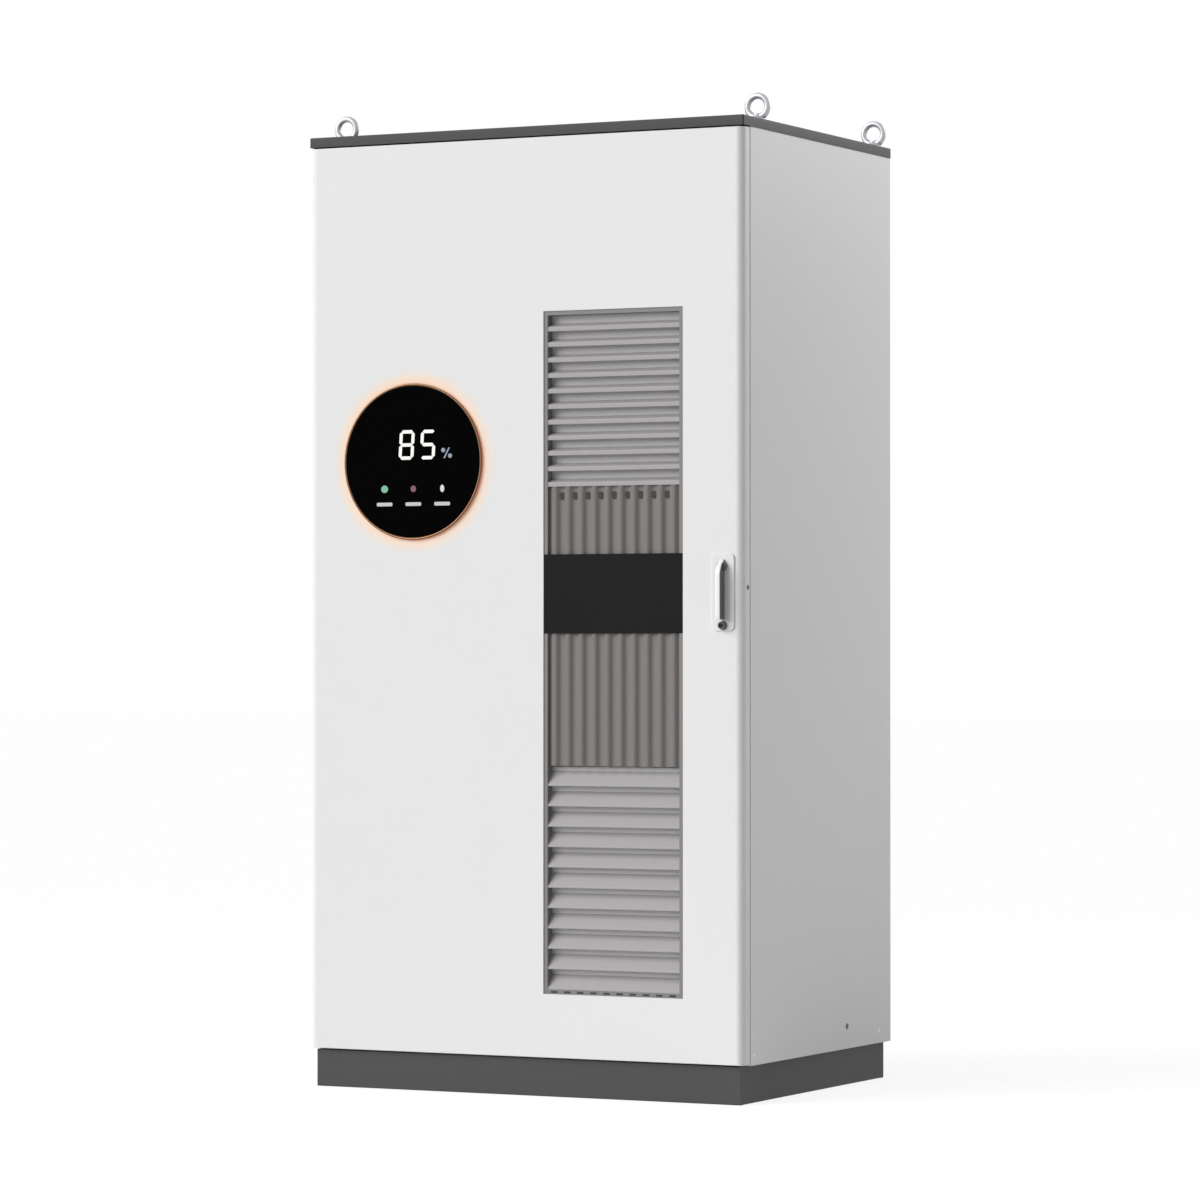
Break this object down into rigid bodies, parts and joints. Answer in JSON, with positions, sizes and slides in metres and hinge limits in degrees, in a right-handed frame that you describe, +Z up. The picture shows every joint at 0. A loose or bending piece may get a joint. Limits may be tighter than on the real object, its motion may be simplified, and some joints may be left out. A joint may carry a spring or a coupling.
{
  "type": "battery cabinet",
  "caption": "Free-standing outdoor battery cabinet with a hinged full-width door, door cooler behind a louvred grille, round display, lifting eyes and plinth.",
  "frame": {"origin": "middle of the plinth's foot on the ground, which is also the middle of the floor bolt pattern", "axes": "+Z up, -Y towards the door, +X to the right when facing the door"},
  "size_m": [1.125, 0.855, 2.262],
  "materials": {
    "white_paint": "powder coat, satin, fine texture",
    "dark_paint": "powder coat, dark grey, satin",
    "zinc_steel": "zinc-plated sheet",
    "eye_steel": "bright zinc",
    "grey_paint": "powder coat, mid grey, satin",
    "black_gloss": "gloss black",
    "black_glass": "polished, opaque printed glass",
    "bronze_rim": "polished copper tone",
    "light_guide": "translucent, amber",
    "lever_metal": "satin",
    "foam": "closed-cell foam",
    "seal_rubber": "foamed seal",
    "black_plastic": "moulded",
    "grey_plastic": "moulded",
    "fin_metal": "thin fins",
    "black_paint": "gloss black",
    "pack_paint": "powder coat, charcoal",
    "cell_blue": "film wrap",
    "orange_plastic": "moulded",
    "red_paint": "gloss red"
  },
  "bodies": {
    "cabinet": {"plinth_corners": "dark_paint", "plinth_covers": "dark_paint", "frame_fasteners": "zinc_steel", "base_frame": "zinc_steel", "corner_posts": "zinc_steel", "top_frame": "zinc_steel", "side_panels": "white_paint", "rear_panel": "white_paint", "insulation_boards": "foam", "floor_plates": "zinc_steel", "cable_glands": "black_plastic", "roof_cover": "dark_paint", "lifting_eyes": "eye_steel", "hinge_frame_leaves": "zinc_steel", "hinge_pins": "zinc_steel", "lock_keepers": "zinc_steel", "rack_frame": "zinc_steel", "rack_shelves": "zinc_steel", "battery_cases": "pack_paint", "battery_cells": "cell_blue", "pack_grips": "black_plastic", "pack_links": "orange_plastic", "equipment_cases": "pack_paint", "main_breaker": "black_plastic", "fire_canister": "red_paint", "door_switch": "grey_plastic"},
    "door": {"door_leaf": "white_paint", "door_inner_panel": "zinc_steel", "door_reinforcements": "zinc_steel", "door_gasket": "seal_rubber", "hinge_door_leaves": "zinc_steel", "handle_base": "white_paint", "lock_case": "zinc_steel", "rod_guides": "black_plastic", "display_light_ring": "light_guide", "display_glass": "black_glass", "display_bezel": "bronze_rim", "display_can": "black_gloss", "grille_frame": "grey_paint", "upper_louvres": "grey_paint", "lower_louvres": "grey_paint", "ribbed_panels": "grey_paint", "band_plate": "black_gloss", "cooler_case": "zinc_steel", "cooler_coils": "fin_metal", "fan_frames": "zinc_steel", "compressor": "black_paint"},
    "handle": {"handle_lever": "lever_metal", "handle_spindle": "zinc_steel", "lock_pinion": "zinc_steel"},
    "key": {"key_cylinder": "zinc_steel"},
    "upper_rod": {"upper_lock_rod": "zinc_steel"},
    "lower_rod": {"lower_lock_rod": "zinc_steel"},
    "outer_fan": {"condenser_fan": "black_plastic"},
    "inner_fan": {"evaporator_fan": "black_plastic"},
    "knob": {"isolator_knob": "black_plastic"},
    "toggle": {"breaker_toggle": "black_plastic"},
    "plunger": {"switch_plunger": "black_plastic"}
  },
  "joints": [
    {"name": "door_swing", "type": "hinge", "parent": "cabinet", "child": "door", "pos_m": [-0.549, -0.38, 1.131], "axis": [0, 0, -1], "range_deg": [0, 110]},
    {"name": "handle_turn", "type": "hinge", "parent": "door", "child": "handle", "pos_m": [0.5075, -0.415, 1.196], "axis": [0, 1, 0], "range_deg": [0, 90]},
    {"name": "key_turn", "type": "hinge", "parent": "door", "child": "key", "pos_m": [0.5075, -0.424, 1.065], "axis": [0, 1, 0], "range_deg": [0, 90]},
    {"name": "upper_rod_slide", "type": "slide", "parent": "door", "child": "upper_rod", "axis": [0, 0, 1], "range_m": [0, 0.02121]},
    {"name": "lower_rod_slide", "type": "slide", "parent": "door", "child": "lower_rod", "axis": [0, 0, -1], "range_m": [0, 0.02121]},
    {"name": "outer_fan_spin", "type": "hinge", "parent": "door", "child": "outer_fan", "pos_m": [0.2315, -0.34, 1.56], "axis": [0, 1, 0], "continuous": true},
    {"name": "inner_fan_spin", "type": "hinge", "parent": "door", "child": "inner_fan", "pos_m": [0.2315, -0.19, 1.48], "axis": [0, 1, 0], "continuous": true},
    {"name": "isolator_turn", "type": "hinge", "parent": "cabinet", "child": "knob", "pos_m": [0.13, -0.105, 1.95], "axis": [0, 1, 0], "range_deg": [0, 90]},
    {"name": "breaker_toggle_swing", "type": "hinge", "parent": "cabinet", "child": "toggle", "pos_m": [0.3, -0.121, 1.95], "axis": [1, 0, 0], "range_deg": [0, 40]},
    {"name": "door_switch_press", "type": "slide", "parent": "cabinet", "child": "plunger", "axis": [0, 1, 0], "range_m": [0, 0.004], "stiffness_N_per_m": 300, "springref_m": -0.003}
  ],
  "couplings": [
    {"joint": "upper_rod_slide", "follows": "handle_turn", "m_per_rad": 0.0135},
    {"joint": "lower_rod_slide", "follows": "handle_turn", "m_per_rad": 0.0135}
  ]
}
